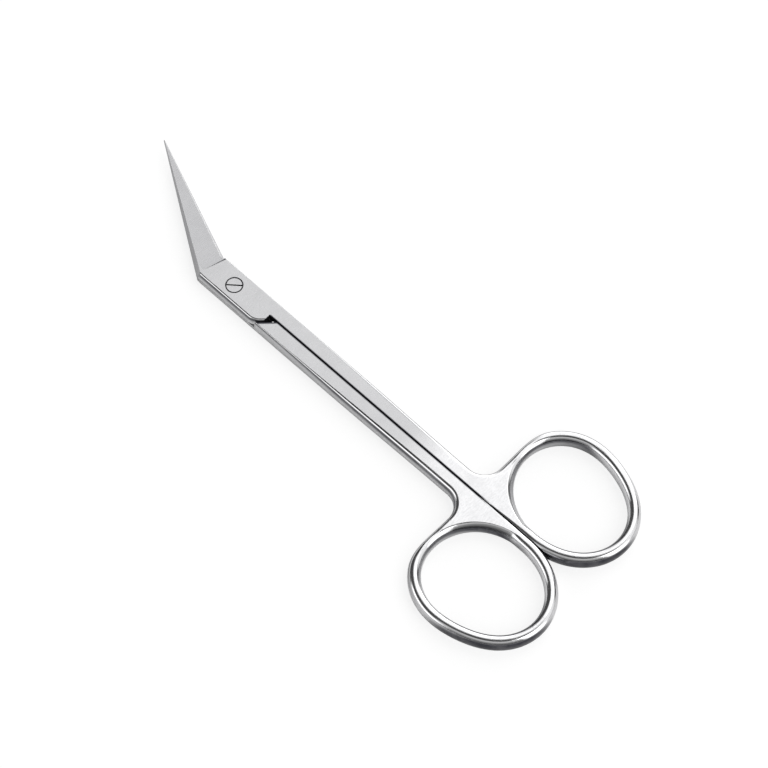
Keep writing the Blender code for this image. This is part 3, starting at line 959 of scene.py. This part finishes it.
def worn_edges(tree, given):
    """Edges rubbed bright: where the normal of a rounded edge turns away from the surface's own."""
    rounded = add_node(tree, "Bevel", {"samples": worn_samples}, {"Radius": given["Radius"]}).outputs[0]
    own = add_node(tree, "NewGeometry").outputs["Normal"]
    match = vector_step(tree, "DOT_PRODUCT", rounded, own)["Value"]
    return {"Wear": step_between(tree, match, *worn_band)}


def use_group(tree, group, inputs):
    """Outputs of one of the shared effects, placed in a material with its own values."""
    return add_node(tree, "Group", {"node_tree": group}, inputs).outputs


def make_steel(recipe, level, groups):
    """A metal material. Its recipe gives colour, roughness, height and relief from the place and normal."""
    material = bpy.data.materials.new(recipe.__name__)
    material.use_nodes = True
    tree = material.node_tree
    shader = tree.nodes["Principled BSDF"].inputs
    shader["Base Color"].default_value = grey(level)
    shader["Metallic"].default_value = 1.0
    where = add_node(tree, "TexCoord").outputs
    colour, rough, height, relief = recipe(tree, groups, where["Object"], where["Normal"])
    bump = add_node(tree, "Bump", None, {"Height": height, **relief})
    tree.links.new(colour, shader["Base Color"])
    tree.links.new(rough, shader["Roughness"])
    tree.links.new(bump.outputs[0], shader["Normal"])
    return material


def unshaded_by_gaps(tree, place, facing):
    """Mask of painted shade on the flats: 1 on the open flats, and 0 beside the split, along the heel's gap
    and on the notch's floor.

    The split lies at x = 0 up to the joint. The heel's gap lies where |x| - y is the shoulder's depth, and
    comes up only where x times the normal's z is negative. The notch's floor lies near mid height.
    """
    beside = size_of(tree, place["X"])
    open_face = step_between(tree, beside, split_gap / 2, split_shade)
    plate = step_between(tree, place["Y"], relief_y - split_gap, relief_y)
    from_heel = calculate(tree, "SUBTRACT", calculate(tree, "SUBTRACT", beside, place["Y"]), shoulder_depth)
    off_heel = step_between(tree, size_of(tree, from_heel), heel_shade / 3, heel_shade)
    own_side = times(tree, place["X"], facing["Z"])
    off_heel = calculate(tree, "MAXIMUM", off_heel, step_between(tree, own_side, 0.0, split_gap))
    depth = size_of(tree, calculate(tree, "SUBTRACT", place["Z"], mid_z))
    outside = step_between(tree, depth, 2 * lap_gap, 4 * lap_gap)
    past_notch = step_between(tree, place["Y"], relief_y, relief_y + 2 * split_shade)
    clear = times(tree, calculate(tree, "MAXIMUM", open_face, plate), off_heel)
    return times(tree, clear, calculate(tree, "MAXIMUM", outside, past_notch))


def brushed_flat(tree, groups, position, normal):
    """Belt-brushed flats of shanks and joint, which go lighter and smoother across the webs, with painted
    shade beside the gaps.
    """
    marks = use_group(tree, groups["brush"], {"Position": position, **flat_marks})
    hands = use_group(tree, groups["handling"], {"Position": position})
    place = parts_of(tree, position)
    to_bow = step_between(tree, place["Y"], *web_band)
    shank_colour = swing_by(tree, tint, marks["Streaks"], flat_level, grain)
    web_colour = swing_by(tree, tint, marks["Streaks"], web_level, grain)
    level = tint(tree, to_bow, shank_colour, web_colour)
    level = tint_by_part(tree, hands["Smudge"], smudge_part, level, flat_level - smudge_drop)
    # Painted shade: the flats go near black beside the split, along the heel's gap and on the notch's floor
    clear = unshaded_by_gaps(tree, place, parts_of(tree, normal))
    level = tint(tree, clear, gap_shade_level, level)
    rough = swing_by(tree, fade, marks["Streaks"], flat_roughness, flat_rough_swing)
    return level, fade(tree, to_bow, rough, web_roughness), marks["Height"], flat_relief


def ground_blade(tree, groups, position, _):
    """Finer belt marks of the blades' ground faces."""
    marks = use_group(tree, groups["brush"], {"Position": position, **blade_marks})
    hands = use_group(tree, groups["handling"], {"Position": position})
    wear = use_group(tree, groups["edges"], {"Radius": blade_wear_reach})["Wear"]
    level = swing_by(tree, tint, marks["Streaks"], blade_level, blade_grain)
    level = tint_by_part(tree, hands["Smudge"], smudge_part, level, blade_level - smudge_drop)
    level = tint_by_part(tree, wear, blade_wear_part, level, polish_level)
    rough = swing_by(tree, fade, marks["Streaks"], blade_roughness, blade_rough_swing)
    return level, fade(tree, wear, rough, polish_roughness), marks["Height"], blade_relief


def facing_step(tree, normal, way, start, end):
    """0 to 1 as the surface turns to face a level way."""
    toward = vector_step(tree, "DOT_PRODUCT", normal, way)["Value"]
    return step_between(tree, toward, start, end)


def polished_side(tree, groups, position, normal):
    """Hand-polished round sides and bows, a little wavy, with hairlines and faint smudges.

    The walls carry painted shade by where they are and which way they face, the shank walls a painted
    highlight at mid height, and the bar's far edge a painted dark line.
    """
    hands = use_group(tree, groups["handling"], {"Position": position})
    place = parts_of(tree, position)
    facing = parts_of(tree, normal)
    upright = size_of(tree, facing["Z"])
    to_bow = step_between(tree, place["Y"], *web_band)
    bow_side = step_between(tree, place["Y"], *bow_band)
    to_blade = step_between(tree, place["Y"], bend_inner_y, bend_outer_y)
    # Painted highlight: the shank walls are lighter at mid height and carry painted shade above it
    rim = step_between(tree, upright, *rim_band)
    shank_wall = tint(tree, rim, shank_wall_shade_level, shank_rim_highlight_level)
    # Painted shade on the blade walls, by their facing
    to_edge = step_between(tree, facing["X"], -edge_facing, edge_facing)
    blade_wall = tint(tree, to_edge, blade_wall_shade_level, edge_wall_level)
    # Painted shade: bow walls go near black where they face front_way
    front = facing_step(tree, normal, front_way, *front_band)
    bow_wall = tint(tree, front, bow_wall_shade_level, bow_front_shade_level)
    wall = tint(tree, bow_side, tint(tree, to_blade, shank_wall, blade_wall), bow_wall)
    # Painted shade: the walls' levels take over as the side turns away from the flat
    level = tint(tree, step_between(tree, upright, *wall_band), wall, polish_level)
    # Painted shade: a darker band on the crest next to the shank flats, none at the bows
    crest = tint(tree, to_bow, crest_shade_level, web_level)
    level = tint(tree, step_between(tree, upright, *crest_band), level, crest)
    # Painted shade: a dark line on the bar's far edge
    far = times(tree, facing_step(tree, normal, far_way, *far_band), bow_side)
    level = tint(tree, far, level, far_edge_shade_level)
    level = tint_by_part(tree, hands["Smudge"], side_smudge_part, level, flat_level)
    rough = fade(tree, hands["Smudge"], polish_roughness - clean_drop, polish_roughness + smudge_rise)
    rough = fade(tree, hands["Hairline"], rough, polish_roughness + hairline_rise)
    wave = noise(tree, {"Vector": position, **wave_noise})
    height = calculate(tree, "MULTIPLY_ADD", hands["Hairline"], -hairline_depth, wave)
    return level, rough, height, side_relief


def shaded_inner_face(tree, groups, position, _):
    """Faces between the shanks, in the bore, on the grind's step and in the notches: near black as painted
    shade, and dull.
    """
    marks = use_group(tree, groups["brush"], {"Position": position, **inner_marks})
    level = swing_by(tree, tint, marks["Streaks"], inner_shade_level, inner_grain)
    rough = swing_by(tree, fade, marks["Streaks"], inner_roughness, inner_rough_swing)
    return level, rough, marks["Height"], inner_relief


def turned_screw(tree, groups, position, _):
    """Lathe-turned screw with rings on its head."""
    rings = use_group(tree, groups["turning"], {"Position": position, **head_rings})["Height"]
    hands = use_group(tree, groups["handling"], {"Position": position, "Smudges": head_smudge_scale})
    wear = use_group(tree, groups["edges"], {"Radius": head_wear_reach})["Wear"]
    level = swing_by(tree, tint, rings, screw_level, ring_swing)
    level = tint_by_part(tree, hands["Smudge"], head_smudge_part, level, screw_level - smudge_drop)
    level = tint_by_part(tree, wear, head_wear_part, level, polish_level)
    return level, swing_by(tree, fade, rings, screw_roughness, ring_swing), rings, head_relief


def read_all(items, title, kind=float, width=1):
    """One value of each item of a mesh, or one row of values where the width is over 1."""
    values = np.empty(len(items) * width, kind)
    items.foreach_get(title, values)
    return values.reshape(-1, width) if width > 1 else values


def sort_faces(mesh):
    """Give each face its finish by where it looks and lies: polished sides, flats, ground blade or inner.

    A flat looks straight up or down, and a ground blade face leans a few degrees from that. Inner faces,
    whose dark colour is painted shade, are those of the split, the bore, the step of the grind, and the
    slanting heel and shoulder.
    """
    normal = read_all(mesh.polygons, "normal", width=3)
    centre = read_all(mesh.polygons, "center", width=3)
    upright = np.abs(normal[:, 2])
    beside, along = np.abs(centre[:, 0]), centre[:, 1]
    on_blade = along > grind_finish_y
    kind = np.zeros(len(normal), int)
    kind[upright > flat_limit] = 1
    kind[(upright > lean_limit) & (upright <= flat_limit) & on_blade] = 2
    in_gap = (beside < split_gap) & (upright < side_limit) & (along < relief_y)
    from_axis = np.hypot(beside, along)
    in_bore = (from_axis < head_radius + head_clearance + 2 * rim_chamfer) & (upright < flat_limit)
    toward_tip = normal[:, :2] @ np.array([math.sin(blade_turn), math.cos(blade_turn)])
    on_step = (toward_tip > side_limit) & (upright > side_limit) & on_blade
    from_heel = np.abs(along - beside + heel_depth)
    on_shoulder = (upright < heel_limit) & (from_heel < heel_band) & (beside < heel_width)
    # Inner faces take the near-black finish that is painted shade
    kind[in_gap | in_bore | on_step | on_shoulder] = 3
    mesh.polygons.foreach_set("material_index", kind)


def sort_screw_faces(mesh):
    """Give the screw's level faces the turned finish, and its sides, chamfer and slot walls the dark one of
    painted shade.
    """
    side = np.abs(read_all(mesh.polygons, "normal", width=3)[:, 2]) < flat_limit
    mesh.polygons.foreach_set("material_index", side.astype(int))


def part_finishes(mesh):
    """Keep shading apart where finishes meet: an edge is sharp if its faces have unlike finishes."""
    edge = read_all(mesh.loops, "edge_index", int)
    sides = read_all(mesh.polygons, "loop_total", int)
    of_corner = np.repeat(read_all(mesh.polygons, "material_index", int), sides)
    lowest = np.full(len(mesh.edges), of_corner.max())
    highest = np.zeros(len(mesh.edges), int)
    np.minimum.at(lowest, edge, of_corner)
    np.maximum.at(highest, edge, of_corner)
    sharp = read_all(mesh.edges, "use_edge_sharp", bool)
    mesh.edges.foreach_set("use_edge_sharp", sharp | (lowest != highest))


def finish_shading(piece):
    """Smooth shading that follows the larger faces, and stays sharp at ground edges."""
    piece.data.shade_smooth()
    piece.data.set_sharp_from_angle(angle=sharp_angle)
    part_finishes(piece.data)
    even = piece.modifiers.new("even_normals", "WEIGHTED_NORMAL")
    even.mode = "FACE_AREA"
    even.weight = face_weight
    even.keep_sharp = True


def stand_for(piece, node, materials):
    """Give a finished piece its materials, and let it stand for a CAD node on that node's body."""
    for material in materials:
        piece.data.materials.append(material)
    body = frame["nodes"][node]["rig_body"]
    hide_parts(node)
    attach(piece, body)


def make_camera():
    """Camera at the photograph's viewing angle, aimed at a point on the plane that the scissors lie on."""
    data = bpy.data.cameras.new("camera")
    data.lens = view_lens
    camera = link_object("camera", data)
    back = Vector((
        math.sin(view_azimuth) * math.cos(view_elevation),
        -math.cos(view_azimuth) * math.cos(view_elevation),
        math.sin(view_elevation),
    ))
    camera.location = Vector(view_target) + back * view_distance
    camera.rotation_mode = "QUATERNION"
    camera.rotation_quaternion = (-back).to_track_quat("-Z", "Y")
    bpy.context.scene.camera = camera


def make_halves():
    """The two fine forgings and the screw, in the frame's axes."""
    upper = blank("upper_forging", 1)
    carve(upper, [*half_cutters(1), upper_bore()])
    lower = blank("lower_forging", -1)
    carve(lower, half_cutters(-1))
    turn_over(lower)
    carve(lower, [lower_bore()])
    return upper, lower, make_screw()


def make_floor():
    """Plain white paper that the scissors lie on: partly its own glow, and the rest takes their shadow."""
    corners = [(-1, -1), (1, -1), (1, 1), (-1, 1)]
    mesh = bpy.data.meshes.new("paper_floor")
    mesh.from_pydata([(x * floor_reach, y * floor_reach, -sliver) for x, y in corners], [], [(0, 1, 2, 3)])
    floor = link_object("paper_floor", mesh)
    material = bpy.data.materials.new("white_paper")
    material.use_nodes = True
    tree = material.node_tree
    tree.nodes.clear()
    ray = add_node(tree, "LightPath").outputs
    to_steel = calculate(tree, "ADD", ray["Is Glossy Ray"], ray["Is Transmission Ray"])
    seen_by_steel = times(tree, to_steel, glow_to_steel)
    seen_by_camera = times(tree, ray["Is Camera Ray"], glow_to_camera)
    glow = calculate(tree, "ADD", seen_by_steel, seen_by_camera)
    shade = tint(tree, ray["Is Camera Ray"], grey(floor_level, 0.0), grey(paper_to_camera, 0.0))
    plain = add_node(tree, "BsdfDiffuse", None, {"Color": shade})
    light = add_node(tree, "Emission", None, {"Strength": glow})
    both = add_node(tree, "AddShader", None, {0: plain.outputs[0], 1: light.outputs[0]})
    end = add_node(tree, "OutputMaterial")
    tree.links.new(both.outputs[0], end.inputs["Surface"])
    mesh.materials.append(material)


def panel_light(tree, level_way, rise, panel):
    """Light of one soft panel by direction: full inside its sides and heights, and fading at its edges."""
    *angles, strength = panel
    middle, half, nearest, farthest = np.radians(angles)
    edge = math.radians(panel_edge)
    toward = (math.cos(middle), math.sin(middle), 0.0)
    sides = facing_step(tree, level_way, toward, math.cos(half + edge), math.cos(half - edge))
    top = step_between(tree, rise, math.cos(nearest - edge), math.cos(nearest + edge))
    foot = step_between(tree, rise, math.cos(farthest + edge), math.cos(farthest - edge))
    inside = times(tree, sides, times(tree, top, foot))
    return times(tree, inside, strength)


def make_studio():
    """Soft studio light: a world of broad panels with soft edges, in a dim room."""
    world = bpy.data.worlds.new("studio")
    world.use_nodes = True
    tree = world.node_tree
    way = add_node(tree, "TexCoord").outputs["Generated"]
    level_part = vector_step(tree, "MULTIPLY", way, (1.0, 1.0, 0.0))["Vector"]
    level_way = vector_step(tree, "NORMALIZE", level_part)["Vector"]
    rise = parts_of(tree, way)["Z"]
    light = room_level
    for panel in soft_panels:
        light = calculate(tree, "ADD", light, panel_light(tree, level_way, rise, panel))
    tree.links.new(light, tree.nodes["Background"].inputs["Color"])
    bpy.context.scene.world = world


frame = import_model()
make_camera()
make_floor()
make_studio()
groups = {
    "brush": make_group(brush_marks, {"Position": None, **flat_marks}),
    "turning": make_group(turning_marks, {"Position": None, **head_rings}),
    "handling": make_group(handling_marks, {"Position": None, **hand_marks}),
    "edges": make_group(worn_edges, {"Radius": blade_wear_reach}),
}
steels = [
    make_steel(polished_side, polish_level, groups),
    make_steel(brushed_flat, flat_level, groups),
    make_steel(ground_blade, blade_level, groups),
    make_steel(shaded_inner_face, inner_shade_level, groups),
]
upper, lower, screw = make_halves()
stand_for(upper, "upper_half", steels)
stand_for(lower, "lower_half", steels)
# The screw's sides, chamfer and slot walls take the dark steel of painted shade
stand_for(screw, "pivot_screw", [make_steel(turned_screw, screw_level, groups), steels[3]])
for half in (upper, lower):
    sort_faces(half.data)
sort_screw_faces(screw.data)
for piece in (upper, lower, screw):
    finish_shading(piece)

scene = bpy.context.scene
scene.view_settings.view_transform = "Standard"
